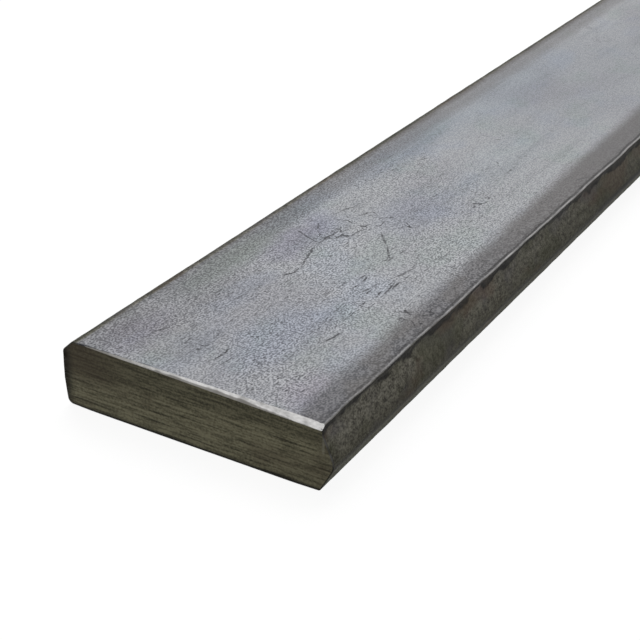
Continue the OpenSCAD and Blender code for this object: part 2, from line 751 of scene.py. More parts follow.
    def _fill(
        self,
        bm: bmesh.types.BMesh,
        loop: list[bmesh.types.BMVert],
        facing: Vector,
        up: Vector,
        patch: Patch,
        step: tuple[float, float],
    ) -> None:
        """Close a flat loop with faces fine enough to carry marks.

        Args:
            bm: The mesh.
            loop: The loop's points, in order.
            facing: The direction that the new faces face.
            up: The direction that their rows are stacked in, roughly.
            patch: The kind of surface that they are.
            step: How far apart points are along a row, and from row to row.
        """
        across = up.cross(facing).normalized()
        rise = facing.cross(across).normalized()
        origin = loop[0].co.copy()
        flat = [Vector(((v.co - origin).dot(across), (v.co - origin).dot(rise))) for v in loop]
        inside = self._grid_inside(flat, step)
        cut_layer = bm.verts.layers.float["cut_share"]
        out_layer = bm.verts.layers.float_vector["outward"]
        verts = list(loop)
        for place in inside:
            vert = bm.verts.new(origin + across * place.x + rise * place.y)
            vert[cut_layer] = 1.0 if patch is Patch.SAWN else 0.0
            vert[out_layer] = facing
            verts.append(vert)
        rim = [(i, (i + 1) % len(flat)) for i in range(len(flat))]
        # The third field of the answer holds the triangles, and the fourth names each point's source
        found = delaunay_2d_cdt(flat + inside, rim, [], INSIDE_ONLY, SMALLEST)
        sources = [s[0] for s in found[3]]
        skin_map, bake_map = (bm.loops.layers.uv[n] for n in (SKIN_MAP, BAKE_MAP))
        layer = bm.faces.layers.int["patch"]
        left, foot = self._patch_corner(patch, facing)
        low_x = min(p.x for p in flat)
        low_y = min(p.y for p in flat)
        places = flat + inside
        for triangle in found[2]:
            corners = [sources[i] for i in triangle]
            face = bm.faces.new([verts[i] for i in corners])
            face[layer] = patch
            for loop_corner, i in zip(face.loops, corners):
                x, y = places[i].x - low_x, places[i].y - low_y
                loop_corner[skin_map].uv = (x, y)
                loop_corner[bake_map].uv = ((left + y) / self.map_side, (foot + x) / self.map_side)

    def _patch_corner(self, patch: Patch, facing: Vector) -> tuple[float, float]:
        """Find a patch's place on the bake map, where all of them stand in one column.

        Args:
            patch: The kind of surface.
            facing: The direction that it faces.

        Returns:
            The left side and the foot of its place, in metres.
        """
        left = self.map_side - self.map_gap - (self.high.z - self.low.z)
        places = 0 if facing.x > 0 else 1
        if patch is Patch.FILED:
            places = 2
        return left, self.map_gap + places * (self.high.y - self.low.y + self.map_gap)

    @staticmethod
    def _grid_inside(flat: list[Vector], step: tuple[float, float]) -> list[Vector]:
        """Return the points of a grid that lie inside a loop, clear of its edge.

        Args:
            flat: The loop.
            step: The grid's two distances.

        Returns:
            The points inside.
        """
        found = []
        clear = step[1] * 0.6
        low = min(p.y for p in flat)
        rows = int((max(p.y for p in flat) - low) / step[1])
        sides = list(zip(flat, flat[1:] + flat[:1]))
        for row in range(1, rows + 1):
            y = low + row * step[1]
            crossings = []
            for level in (y - clear, y + clear):
                crossed = [(a, b) for a, b in sides if (a.y > level) != (b.y > level)]
                hits = [a.x + (b.x - a.x) * (level - a.y) / (b.y - a.y) for a, b in crossed]
                crossings.append((min(hits), max(hits)) if hits else (0.0, 0.0))
            start = max(c[0] for c in crossings) + clear
            end = min(c[1] for c in crossings) - clear
            count = int((end - start) / step[0]) if end > start else 0
            found += [Vector((start + (end - start) * i / count, y)) for i in range(count + 1) if count]
        return found


def saw_lines(graph: Graph, place: Wire, pitch: float) -> Wire:
    """Return the saw's marks, which run across the bar in nearly straight lines.

    Args:
        graph: The tree in which they are worked out.
        place: Where they are read, in metres.
        pitch: Distance between two lines.

    Returns:
        0 between the lines and 1 on each.
    """
    _, y, z = graph.split(place)
    bow = graph.noise(graph.joined(y, z * 2.0, 0.0), pitch * 30.0, 2.0, 15.0) * (pitch * 1.1)
    wave = graph.maths("SINE", (z + bow) * (math.tau / pitch)) * 0.5 + 0.5
    strength = graph.noise(graph.joined(y * 0.2, z * 2.0, 0.0), pitch * 1.6, 2.0, 16.0).rise(0.36, 0.66)
    return wave * (strength * 0.85 + 0.15)


@dataclass(frozen=True)
class MillMarks:
    """What the rolls, the saw and handling leave in the bar's shape, made by Geometry Nodes.

    Attributes:
        wave_depth: Depth of the broad faces' gentle waves.
        wave_size: Length of those waves.
        edge_depth: Depth of the rolled edges' lumps.
        edge_size: Size of those lumps.
        lip_sway: How far the lip wanders to each side.
        lip_sway_size: Over what length the lip wanders.
        lip_drift: How far the lip has moved out by drift_length.
        drift_length: The length over which the lip moves out.
        groove_depth: Depth of the lap's groove, inside the lip.
        hollow_depth: Depth of the lumpy hollow under the lip.
        dent_depth: Depth of a dent.
        dent_radius: Radius of a dent.
        dent_density: How many dents there are on a square metre.
        seed: Picks where waves and dents lie.
    """

    wave_depth: float = 0.04 * MM
    wave_size: float = 24 * MM
    edge_depth: float = 0.06 * MM
    edge_size: float = 3.5 * MM
    lip_sway: float = 0.13 * MM
    lip_sway_size: float = 15 * MM
    lip_drift: float = 0.4 * MM
    drift_length: float = 150 * MM
    groove_depth: float = 0.16 * MM
    hollow_depth: float = 0.22 * MM
    dent_depth: float = 0.07 * MM
    dent_radius: float = 2.0 * MM
    dent_density: float = 900.0
    seed: int = 7

    def press_into(
        self,
        bar: bpy.types.Object,
        body: FlatBar,
        materials: dict[Patch, bpy.types.Material],
    ) -> None:
        """Press the marks into the bar, and give each kind of surface its material.

        Args:
            bar: The bar's object, whose mesh is replaced.
            body: The bar's sizes.
            materials: A material for each kind of surface.
        """
        tree = bpy.data.node_groups.new("mill_marks", "GeometryNodeTree")
        values = {f.name.replace("_", " ").title(): getattr(self, f.name) for f in fields(self)}
        values |= {"Saw Depth": body.saw_depth, "Filed End": body.low.x}
        self._declare(tree, values)
        self._lay_out(Graph(tree), body.saw_pitch, materials)
        modifier = bar.modifiers.new("mill_marks", "NODES")
        modifier.node_group = tree
        for item in tree.interface.items_tree:
            if item.in_out == "INPUT" and item.name in values:
                modifier[item.identifier] = values[item.name]
        shaped = bar.evaluated_get(bpy.context.evaluated_depsgraph_get())
        marked = bpy.data.meshes.new_from_object(shaped)
        bar.modifiers.remove(modifier)
        bar.data = marked

    @staticmethod
    def _declare(tree: bpy.types.NodeTree, values: dict[str, float | int]) -> None:
        """Give the tree its named inputs and its geometry sockets.

        Args:
            tree: The tree.
            values: The value of each input, by its name.
        """
        interface = tree.interface
        interface.new_socket("Geometry", in_out="INPUT", socket_type="NodeSocketGeometry")
        interface.new_socket("Geometry", in_out="OUTPUT", socket_type="NodeSocketGeometry")
        for name, value in values.items():
            kind = "NodeSocketInt" if isinstance(value, int) else "NodeSocketFloat"
            interface.new_socket(name, in_out="INPUT", socket_type=kind)

    def _lay_out(self, graph: Graph, saw_pitch: float, materials: dict[Patch, bpy.types.Material]) -> None:
        """Build the tree's nodes.

        Args:
            graph: The tree.
            saw_pitch: Distance between the saw's marks.
            materials: A material for each kind of surface.
        """
        group = graph.node("NodeGroupInput")

        def given(name: str) -> Wire:
            """Return one of the tree's inputs."""
            return graph.wire(group, name)

        def stored(name: str, kind: str = "FLOAT") -> Wire:
            """Return a value that the mesh holds under a name."""
            held = graph.node("GeometryNodeInputNamedAttribute", {"data_type": kind}, {"Name": name})
            return graph.wire(held)

        place = graph.wire(graph.node("GeometryNodeInputPosition"))
        x, _, _ = graph.split(place)
        seed = given("Seed")

        def along(step: float) -> Wire:
            """Return a slow pattern that changes along the bar only."""
            return self._cloud(graph, graph.joined(x, 0.0, 0.0), given("Lip Sway Size"), seed + step)

        waves = self._cloud(graph, place, given("Wave Size"), seed) * given("Wave Depth")
        lumps = self._cloud(graph, place, given("Edge Size"), seed + 3.0)
        groove = stored("groove_share") * along(4.0) * given("Groove Depth")
        hollow = stored("hollow_share") * (lumps * 0.7 + 0.3) * given("Hollow Depth")
        edge = lumps * stored("edge_share") * given("Edge Depth")
        rolled = waves + self._dents(graph, given, place) + edge
        saw = saw_lines(graph, place, saw_pitch) * given("Saw Depth")
        inward = stored("skin_share") * (rolled + groove + hollow) + saw * stored("cut_share")
        depth = inward * -1.0
        outward = stored("outward", "FLOAT_VECTOR")
        sunk = graph.vectors("MULTIPLY", outward, graph.joined(depth, depth, depth))

        drift = ((x - given("Filed End")) / given("Drift Length")).rise(0.0, 1.0) * given("Lip Drift")
        wander = along(5.0) * 2.0 - 1.0
        sway = (wander * given("Lip Sway") - drift) * stored("lip_share")
        moved = graph.vectors("ADD", sunk, graph.joined(0.0, sway, 0.0))

        inputs = {"Geometry": given("Geometry"), "Offset": moved}
        whole = graph.wire(graph.node("GeometryNodeSetPosition", inputs=inputs))
        whole = graph.wire(graph.node("GeometryNodeRealizeInstances", inputs={"Geometry": whole}))
        kind = stored("patch", "INT")
        for patch, material in materials.items():
            settings = {"data_type": "INT", "operation": "EQUAL"}
            chosen = graph.wire(graph.node("FunctionNodeCompare", settings, {2: kind, 3: int(patch)}))
            inputs = {"Geometry": whole, "Selection": chosen, "Material": material}
            whole = graph.wire(graph.node("GeometryNodeSetMaterial", inputs=inputs))
        graph.node("NodeGroupOutput", inputs={"Geometry": whole})

    @staticmethod
    def _cloud(graph: Graph, place: Wire, size: Wire, seed: Amount) -> Wire:
        """Add a cloudy pattern whose size is one of the tree's inputs.

        Args:
            graph: The tree.
            place: Where it is read.
            size: The size of its lumps.
            seed: Picks one of many like patterns.

        Returns:
            The pattern, spread from 0 to 1.
        """
        inputs = {"Vector": place, "W": seed, "Scale": 1.0 / size, "Detail": 2.0}
        pattern = graph.wire(graph.node("ShaderNodeTexNoise", {"noise_dimensions": "4D"}, inputs))
        return pattern.rise(0.25, 0.75)

    @staticmethod
    def _dents(graph: Graph, given: Callable[[str], Wire], place: Wire) -> Wire:
        """Strew dents over the bar at random.

        Args:
            graph: The tree.
            given: Returns one of the tree's inputs by its name.
            place: Where they are read.

        Returns:
            How deep the bar is dented.
        """
        inputs = {"Mesh": given("Geometry"), "Density": given("Dent Density"), "Seed": given("Seed")}
        points = graph.node("GeometryNodeDistributePointsOnFaces", {"distribute_method": "RANDOM"}, inputs)
        nearest = graph.node(
            "GeometryNodeProximity",
            {"target_element": "POINTS"},
            {"Geometry": graph.wire(points, "Points"), "Sample Position": place},
        )
        share = graph.wire(nearest, "Distance") / given("Dent Radius")
        return share.fall(0.0, 1.0) * given("Dent Depth")


@dataclass(frozen=True)
class Scratch:
    """One dark scratch or crack in the scale of the upper face.

    Attributes:
        start: Where it starts, in mm from the filed end and from the bar's middle.
        end: Where it ends, likewise.
        width: How wide it is, in mm.
        depth: How dark it is, from 0 to 1.
    """

    start: tuple[float, float]
    end: tuple[float, float]
    width: float = 0.5
    depth: float = 1.0

    def mark(self, g: Graph, flat: Wire, filed_end: float) -> Wire:
        """Return 1 on the scratch and 0 away from it.

        Args:
            g: The material's tree.
            flat: The place on the upper face, in metres, without its height.
            filed_end: Where the filed end stands.

        Returns:
            How dark the scratch is.
        """
        (x, y), (end_x, end_y) = self.start, self.end
        centre = (filed_end + (x + end_x) / 2 * MM, (y + end_y) / 2 * MM)
        half_length = math.hypot(end_x - x, end_y - y) / 2 * MM
        half = (half_length * 1.15, self.width / 2 * MM)
        angle = math.atan2(end_y - y, end_x - x)
        return g.oval(flat, centre, half, angle).fall(0.4, 1.05) * self.depth


@dataclass(frozen=True)
class Spot:
    """One soft-edged oval on the upper face.

    Attributes:
        centre: Where its middle lies, in mm from the filed end and from the bar's middle.
        half: Half its length and half its width, in mm.
    """

    centre: tuple[float, float]
    half: tuple[float, float]

    def share(self, g: Graph, flat: Wire, filed_end: float) -> Wire:
        """Return 1 in the oval and 0 outside it.

        Args:
            g: The material's tree.
            flat: The place on the upper face, in metres, without its height.
            filed_end: Where the filed end stands.

        Returns:
            How far a place lies in the oval.
        """
        centre = (filed_end + self.centre[0] * MM, self.centre[1] * MM)
        half = (self.half[0] * MM, self.half[1] * MM)
        return g.oval(flat, centre, half).fall(0.3, 1.3)


@dataclass(frozen=True)
class Bloom(Spot):
    """One tinted patch in the scale of the upper face.

    Attributes:
        tint: What it multiplies the colour by, in its middle.
    """

    tint: Colour

    def laid_over(self, g: Graph, flat: Wire, filed_end: float, colour: Wire) -> Wire:
        """Return colour, with this patch laid over it.

        Args:
            g: The material's tree.
            flat: The place on the upper face, in metres, without its height.
            filed_end: Where the filed end stands.
            colour: The colour under the patch.

        Returns:
            The colour with the patch on it.
        """
        return g.tinted(self.share(g, flat, filed_end), colour, self.tint)


@dataclass(frozen=True)
class Cloud:
    """One kind of soft patches all over the broad faces.

    Attributes:
        size: The size of its largest patches.
        drawn_out: How much longer they are along the bar.
        seed: Picks one of many like patterns.
        span: Where in the pattern a patch starts, and where it is whole.
        tint: What it multiplies the colour by.
    """

    size: float
    drawn_out: float
    seed: float
    span: tuple[float, float]
    tint: Colour

    def laid_over(self, g: Graph, place: Wire, colour: Wire) -> Wire:
        """Return colour, with these patches laid over it."""
        pattern = g.noise(place, self.size, 3.0, self.seed, (self.drawn_out, 1.0, 1.0))
        return g.tinted(pattern.rise(*self.span), colour, self.tint)


@dataclass(frozen=True)
class RolledSkin:
    """Mill scale on the broad faces and the rolled edges.

    Attributes:
        body: The bar's sizes, which say where its faces, edges and ends lie.
        light: The scale where it is brightest.
        dark: The scale in the hollows of its grain.
        pore: The small dark pores in the grain.
        clouds: Its darker patches, drawn out streaks, thin bluish patches and thicker greenish ones.
        shaded_shoulder_light: The band of painted shade along each edge of a broad face, where the face
            bends away, where it is brightest.
        shaded_shoulder_dark: That band of painted shade in the hollows of its grain.
        shoulder_brown: The first rust in that band.
        edge_light: The rolled edges where they are brightest.
        edge_dark: The rolled edges in their hollows.
        olive: The greenish patches of the rolled edges, and the darker olive low down, which is partly
            painted shade.
        violet: The violet grey patches of the rolled edges.
        rust: The first rust on the rolled edges.
        older: What the rolled edges are multiplied by, away from the filed end.
        upper: What they are multiplied by just below the lip, a painted light where the edge faces a little
            upwards.
        lower: What they are multiplied by low down, a painted shade.
        lap: The near-black of the painted shade: the shadow under the lip, the lap's groove, the bend at
            the upright edge and the rolled edges' foot and turn; also the colour of the edges' pits and of
            the skin's last edge at both ends.
        ridge: The painted highlight along the lip's ridge; it also brightens the corner at the filed end.
        scratch: The bottom of a scratch.
        scratches: The scratches and cracks that have their own place.
        blooms: The tinted patches that have their own place.
        dashed: Where most of the short dark dashes lie.
        band_width: Width of the band of painted shade along each edge of a broad face.
        band_soft: How soft the band's inner side is, to both sides.
        band_growth: How much wider the nosed edge's band is, away from the filed end.
        turn: The heights between which the nosed edge turns down, and is darkened with painted shade.
        painted_shadow_from: Where along the bar that turn grows black with painted shadow.
        painted_shadow_to: Where along the bar that painted shadow ends.
        upper_span: The heights over which the edges turn lighter with painted light, below the lip.
        lower_span: The heights over which they turn darker with painted shade, downwards.
        rough: The shader's roughness in the grain's hollows.
        metal: How much of the metal shows through the scale.
        relief: Depth of the grain that is too fine for the mesh.
    """

    body: FlatBar
    light: Colour = (0.49, 0.50, 0.52)
    dark: Colour = (0.20, 0.205, 0.218)
    pore: Colour = (0.045, 0.045, 0.05)
    clouds: tuple[Cloud, ...] = (
        Cloud(26 * MM, 1.8, 3.0, (0.44, 0.64), (0.87, 0.86, 0.88)),
        Cloud(3.6 * MM, 9.0, 4.0, (0.48, 0.7), (0.86, 0.87, 0.87)),
        Cloud(13 * MM, 1.5, 5.0, (0.5, 0.66), (0.96, 0.985, 1.03)),
        Cloud(9 * MM, 1.4, 6.0, (0.52, 0.68), (0.93, 0.97, 0.94)),
    )
    shaded_shoulder_light: Colour = (0.177, 0.173, 0.183)
    shaded_shoulder_dark: Colour = (0.066, 0.065, 0.071)
    shoulder_brown: Colour = (0.135, 0.121, 0.108)
    edge_light: Colour = (0.29, 0.277, 0.222)
    edge_dark: Colour = (0.040, 0.037, 0.029)
    olive: Colour = (0.072, 0.074, 0.04)
    violet: Colour = (0.125, 0.117, 0.128)
    rust: Colour = (0.14, 0.09, 0.062)
    older: Colour = (0.78, 0.79, 0.78)
    upper: Colour = (1.35, 1.35, 1.38)
    lower: Colour = (0.84, 0.83, 0.80)
    lap: Colour = (0.012, 0.0115, 0.011)
    ridge: Colour = (0.45, 0.44, 0.435)
    scratch: Colour = (0.03, 0.03, 0.034)
    scratches: tuple[Scratch, ...] = (
        Scratch((6.8, 0.7), (11.9, 0.4), 0.55),
        Scratch((5.6, -0.9), (10.7, -1.5), 0.5, 0.7),
        Scratch((8.2, 5.0), (9.2, 4.6), 0.9, 0.9),
        Scratch((38.1, 6.9), (40.8, 6.1), 0.7),
        Scratch((20.2, -11.0), (26.6, -11.8), 0.6, 0.9),
        Scratch((40.3, -11.3), (47.0, -10.7), 0.6, 0.9),
        Scratch((56.5, 15.8), (53.2, 8.5), 0.6, 0.8),
        Scratch((53.0, 8.4), (61.3, 8.2), 0.65),
        Scratch((53.2, 8.8), (42.5, 6.0), 0.65, 0.85),
        Scratch((42.5, 6.0), (38.0, 6.5), 0.6),
        Scratch((63.8, 1.2), (59.0, -2.7), 0.65),
        Scratch((59.0, -2.7), (54.0, -5.8), 0.6),
        Scratch((37.8, -7.1), (46.0, -9.0), 0.6, 0.7),
        Scratch((47.0, -9.3), (53.8, -11.2), 0.6, 0.7),
        Scratch((66.0, 12.5), (74.0, 10.5), 0.7, 0.6),
    )
    blooms: tuple[Bloom, ...] = (
        Bloom((19.0, -3.5), (15.0, 6.0), (0.95, 0.995, 1.07)),
        Bloom((8.5, 16.0), (9.0, 5.0), (0.74, 0.71, 0.76)),
        Bloom((8.0, 10.0), (9.0, 7.0), (0.93, 0.93, 0.90)),
        Bloom((53.0, 12.5), (13.0, 5.0), (0.80, 0.78, 0.87)),
        Bloom((40.0, 18.5), (20.0, 4.5), (0.71, 0.76, 0.70)),
        Bloom((24.0, 13.5), (12.0, 3.5), (0.82, 0.82, 0.81)),
        Bloom((64.0, 20.0), (16.0, 4.0), (0.72, 0.76, 0.80)),
        Bloom((9.5, 5.0), (8.0, 2.2), (0.85, 0.85, 0.86)),
        Bloom((9.0, -16.5), (9.0, 4.0), (0.93, 0.88, 0.93)),
        Bloom((104.0, 17.5), (28.0, 6.0), (0.74, 0.79, 0.86)),
        Bloom((76.0, 0.5), (14.0, 7.0), (0.90, 0.92, 0.98)),
        Bloom((150.0, 14.0), (40.0, 8.0), (0.94, 0.98, 1.01)),
        Bloom((36.0, -8.0), (16.0, 4.5), (1.07, 1.08, 1.10)),
        Bloom((110.0, -3.0), (26.0, 6.5), (1.02, 1.05, 1.06)),
        Bloom((176.0, 3.0), (58.0, 22.0), (0.85, 0.86, 0.88)),
    )
    dashed: Spot = Spot((46.0, -8.5), (24.0, 7.0))
    band_width: float = 4.9 * MM
    band_soft: float = 1.9 * MM
    band_growth: float = 1.2 * MM
    turn: tuple[float, float] = (3.9 * MM, 5.0 * MM)
    painted_shadow_from: tuple[float, float] = (90 * MM, 125 * MM)
    painted_shadow_to: tuple[float, float] = (150 * MM, 200 * MM)
    upper_span: tuple[float, float] = (7 * MM, 8.8 * MM)
    lower_span: tuple[float, float] = (5.2 * MM, 7.4 * MM)
    rough: float = 0.62
    metal: float = 0.25
    relief: float = 0.09 * MM

    def material(self) -> bpy.types.Material:
        """Make the material, which reads the bar's own places and its skin map.

        Returns:
            The material.
        """
        material, g = Graph.of_material("rolled_skin")
        place = g.place()
        girth, reach, _ = g.split(g.wire(g.node("ShaderNodeUVMap", {"uv_map": SKIN_MAP})))

        grain, pores = self._grain(g, place, reach)
        wobble = g.noise(place, 6 * MM, 4.0, 11.0, (1.6, 1.0, 1.0), 0.6) - 0.5
        edge_share = self._edge_share(girth + wobble * (0.5 * MM))
        marks = self._marks(g, place) * (1 - edge_share)
        colour = self._broad_faces(g, place, grain)
        colour = g.mixed(pores * 0.74, colour, self.pore)
        colour = self._with_shoulders(g, place, girth + wobble * (2.6 * MM), reach, grain, colour)
        colour = g.mixed(edge_share, colour, self._rolled_edges(g, place, reach, grain))
        top_width = self.body.section.top_width
        # Painted shade: a near-black line along the bend at the upright edge's corner, where that edge
        # turns away from the light.
        bend = (girth + wobble * (1.2 * MM)).band(top_width - 0.9 * MM, top_width + 1.2 * MM, 0.4 * MM)
        colour = g.mixed(bend * 0.65, colour, self.lap)
        colour = g.mixed(marks * 0.94, colour, self.scratch)

        lap, ridge, groove = self._lip(g, place, girth, reach)
        # Painted shadow under the lip's overhang.
        colour = g.mixed(lap, colour, self.lap)
        # Painted shade in the lap's groove, inside the lip.
        colour = g.mixed(groove * 0.85, colour, self.lap)
        # Painted highlight along the lip's ridge.
        colour = g.mixed(ridge, colour, self.ridge)
        colour = self._with_cut_rims(g, place, girth, reach, colour)

        rough = self.rough - grain * 0.12 + edge_share * 0.12 - ridge * 0.15
        _, _, z = g.split(place)
        scaled = edge_share * (z.fall(4.8 * MM, 6.4 * MM) * 0.1 + 0.15)
        height = grain * 0.5 - pores * 0.5 - marks * 1.5 - lap * 0.5
        finish = {
            "Base Color": colour,
            "Roughness": rough,
            "Metallic": self.metal - scaled,
            "Specular IOR Level": SHEEN,
        }
        g.surfaced(height, self.relief, 0.5, finish)
        return material

    def _grain(self, g: Graph, place: Wire, reach: Wire) -> tuple[Wire, Wire]:
        """Make the fine grain of the scale, which is calmer far from the filed end.

        Args:
            g: The material's tree.
            place: Where it is read, in metres.
            reach: How far from the filed end it is read.

        Returns:
            The grain, from 0 in its hollows to 1, and its pores.
        """
        fine = g.noise(place, 0.3 * MM, 0.0, 1.0, (1.4, 1.0, 1.0))
        coarse = g.noise(place, 0.8 * MM, 2.0, 2.0, (1.7, 1.0, 1.0))
        mixed = fine * 0.68 + coarse * 0.32
        drift = g.noise(place, 40 * MM, 2.0, 3.0) * (60 * MM)
        calm = (reach + drift).rise(85 * MM, 165 * MM) * 0.6
        uneven = g.noise(place, 12 * MM, 2.0, 8.0, (1.8, 1.0, 1.0)).rise(0.4, 0.62) * 0.28
        calm = calm.larger(uneven)
        grain = mixed.rise(0.37, 0.64) * (1 - calm) + calm * 0.5
        pores = g.strokes(place, (1.3 * MM, 0.55 * MM, 1.2 * MM), 0.45, 0.44, 9.0)
        return grain, pores * (1 - calm)

    def _broad_faces(self, g: Graph, place: Wire, grain: Wire) -> Wire:
        """Colour the broad faces: grain under slow clouds and the patches that have their own place.

        Args:
            g: The material's tree.
            place: Where it is read, in metres.
            grain: The grain of the scale.

        Returns:
            The colour.
        """
        colour = g.mixed(grain, self.dark, self.light)
        for cloud in self.clouds:
            colour = cloud.laid_over(g, place, colour)
        x, y, z = g.split(place)
        ragged = g.noise(place, 5 * MM, 4.0, 7.0, rough=0.65) - 0.5
        flat = g.joined(x + ragged * (9 * MM), y + ragged * (6 * MM), 0.0)
        tinted = colour
        for bloom in self.blooms:
            tinted = bloom.laid_over(g, flat, self.body.low.x, tinted)
        return g.mixed(z.rise(*UPPER_HALF), colour, tinted)

    def _rolled_edges(self, g: Graph, place: Wire, reach: Wire, grain: Wire) -> Wire:
        """Return the colour of the rolled edges: a dark mottled scale with the first rust in it.

        Args:
            g: The material's tree.
            place: Where it is read, in metres.
            reach: How far from the filed end it is read.
            grain: The grain of the scale.

        Returns:
            The colour.
        """
        mottle = g.noise(place, 0.9 * MM, 3.0, 12.0, (1.3, 1.0, 1.0), 0.7).rise(0.33, 0.68)
        colour = g.mixed(mottle * 0.6 + grain * 0.4, self.edge_dark, self.edge_light)
        violet = g.noise(place, 8 * MM, 3.0, 13.0, (1.5, 1.0, 1.0)).rise(0.5, 0.64)
        colour = g.mixed(violet * 0.5, colour, self.violet)
        olive = g.noise(place, 7 * MM, 3.0, 14.0, (1.5, 1.0, 1.0)).rise(0.47, 0.62)
        _, y, z = g.split(place)
        # Olive patches, and more olive low down: a real greenish tint, and there also painted shade towards
        # the floor.
        colour = g.mixed((olive * 0.5).larger(z.fall(2 * MM, 7 * MM) * 0.85), colour, self.olive)
        rust = g.noise(place, 9 * MM, 3.0, 17.0, (1.8, 1.0, 1.0)).rise(0.53, 0.64)
        colour = g.mixed(rust * 0.4, colour, self.rust)
        older = reach.rise(20 * MM, 120 * MM)
        colour = g.tinted(older, colour, self.older)
        # Painted light: the edge just below the lip is made lighter, where it faces a little upwards.
        colour = g.tinted(z.rise(*self.upper_span), colour, self.upper)
        # Painted shade: the edges turn darker towards the floor.
        colour = g.tinted(z.fall(*self.lower_span), colour, self.lower)
        # Painted shade along the foot of the rolled edges, where they meet the floor.
        colour = g.mixed(z.fall(0.3 * MM, 1.6 * MM) * 0.6, colour, self.lap)
        # Painted shade where the nosed edge turns down, away from the light, and a black painted shadow
        # there further along the bar.
        low, high = self.turn
        turned = z.band(low, high, 0.35 * MM) * (older * 0.25 + 0.6)
        soiled = reach.rise(*self.painted_shadow_from) * reach.fall(*self.painted_shadow_to)
        black = z.band(low - 0.3 * MM, high + 0.5 * MM, 0.5 * MM) * soiled * 0.9
        colour = g.mixed(turned.larger(black) * y.fall(-1 * MM, 1 * MM), colour, self.lap)
        pits = g.strokes(place, (3.0 * MM, 2.6 * MM, 2.2 * MM), 0.16, 0.17, 18.0)
        return g.mixed(pits * 0.85, colour, self.lap)

    def _edge_share(self, girth: Wire) -> Wire:
        """Tell the two rolled edges from the broad faces.

        Args:
            girth: How far from the lip it is read, round the section.

        Returns:
            1 on the rolled edges and 0 on the broad faces.
        """
        s, soft = self.body.section, 0.2 * MM
        nosed = girth.band(-s.nosed_length, -0.1 * MM, soft)
        upright = girth.band(s.top_width - 1.1 * MM, s.top_width + s.upright_length, soft * 2)
        return nosed.larger(upright)

    def _with_shoulders(
        self, g: Graph, place: Wire, girth: Wire, reach: Wire, grain: Wire, colour: Wire
    ) -> Wire:
        """Lay the bands of painted shade along the edges of the broad faces over their colour.

        Args:
            g: The material's tree.
            place: Where it is read, in metres.
            girth: How far from the lip it is read, round the section.
            reach: How far from the filed end it is read.
            grain: The grain of the scale.
            colour: The colour of the broad faces.

        Returns:
            The colour with the bands on it.
        """
        s = self.body.section
        width, soft = self.band_width, self.band_soft
        # The bands along the edges of the broad faces are painted shade: darker copies of the scale where
        # the face bends away from the light; the brown in them is real rust.
        dull = g.mixed(grain, self.shaded_shoulder_dark, self.shaded_shoulder_light)
        brown = g.noise(place, 7 * MM, 3.0, 19.0, (1.6, 1.0, 1.0)).rise(0.46, 0.62)
        browner = (brown * 0.4).larger(reach.rise(35 * MM, 90 * MM) * 0.4)
        dull = g.mixed(browner, dull, self.shoulder_brown)
        wider = reach.rise(50 * MM, 120 * MM) * self.band_growth
        inside = girth.rise(-1.5 * MM, -0.5 * MM)
        top_nosed = (girth - wider).fall(width - soft, width + soft) * inside * 0.9
        lit = girth.band(s.top_width - 6.9 * MM, s.top_width - 6.5 * MM, 0.4 * MM) * 0.16
        inner = s.top_width - 6.0 * MM
        outer = girth.rise(s.top_width - 3.2 * MM, s.top_width - 0.6 * MM) * 0.5 + 0.45
        top_upright = girth.band(inner, s.top_width + soft, soft) * outer
        top_upright = top_upright * (reach.rise(30 * MM, 110 * MM) * 0.45 + 0.75)
        low_nosed = girth.band(-s.nosed_length - width, -s.nosed_length, soft) * 0.8
        foot = s.top_width + s.upright_length
        low_upright = girth.band(foot, foot + width, soft) * 0.7
        share = top_nosed.larger(top_upright).larger(low_nosed).larger(low_upright)
        return g.mixed(share, g.mixed(lit, colour, self.light), dull)

    def _marks(self, g: Graph, place: Wire) -> Wire:
        """Mark the broad faces with scratches, cracks in the scale, short dashes and pits.

        Args:
            g: The material's tree.
            place: Where it is read, in metres.

        Returns:
            How dark the marks are.
        """
        x, y, z = g.split(place)
        bent = g.noise(place, 2.2 * MM, 3.0, 27.0, rough=0.6) - 0.5
        flat = g.joined(x + bent * (1.5 * MM), y + bent * (1.6 * MM), 0.0)
        placed = self.scratches[0].mark(g, flat, self.body.low.x)
        for scratch in self.scratches[1:]:
            placed = placed.larger(scratch.mark(g, flat, self.body.low.x))
        placed = placed * z.rise(*UPPER_HALF)
        calm = 1 - x.rise(self.body.low.x + 70 * MM, self.body.low.x + 140 * MM) * 0.75
        long_ones = g.strokes(place, (9 * MM, 0.9 * MM, 9 * MM), 0.03, 0.42, 21.0)
        turned = {"Vector": place, "Rotation": (0.0, 0.0, math.radians(24.0))}
        turned_place = g.wire(g.node("ShaderNodeMapping", inputs=turned))
        slanting = g.strokes(turned_place, (7 * MM, 0.9 * MM, 9 * MM), 0.02, 0.42, 22.0)
        dashes = g.strokes(flat, (4.4 * MM, 0.66 * MM, 9 * MM), 0.26, 0.42, 28.37, flat=True)
        scattered = g.noise(place, 13 * MM, 2.0, 29.0, (1.8, 1.0, 1.0)).rise(0.5, 0.64) * 0.6
        dashed = scattered.larger(self.dashed.share(g, flat, self.body.low.x)) * z.rise(*UPPER_HALF)
        pits = g.strokes(place, (3.2 * MM, 2.6 * MM, 9 * MM), 0.08, 0.14, 23.0)
        cracks = abs(g.noise(place, 16 * MM, 4.0, 24.0) - 0.5).fall(0.001, 0.006)
        patches = g.noise(place, 21 * MM, 1.0, 25.0).rise(0.58, 0.62)
        ragged = g.noise(place, 0.9 * MM, 1.0, 26.0).rise(0.4, 0.56)
        loose = long_ones.larger(slanting).larger(cracks * patches).larger(dashes * dashed * 0.95)
        loose = loose * calm * (ragged * 0.75 + 0.25)
        return loose.larger(placed * (ragged * 0.5 + 0.5)).larger(pits * calm)

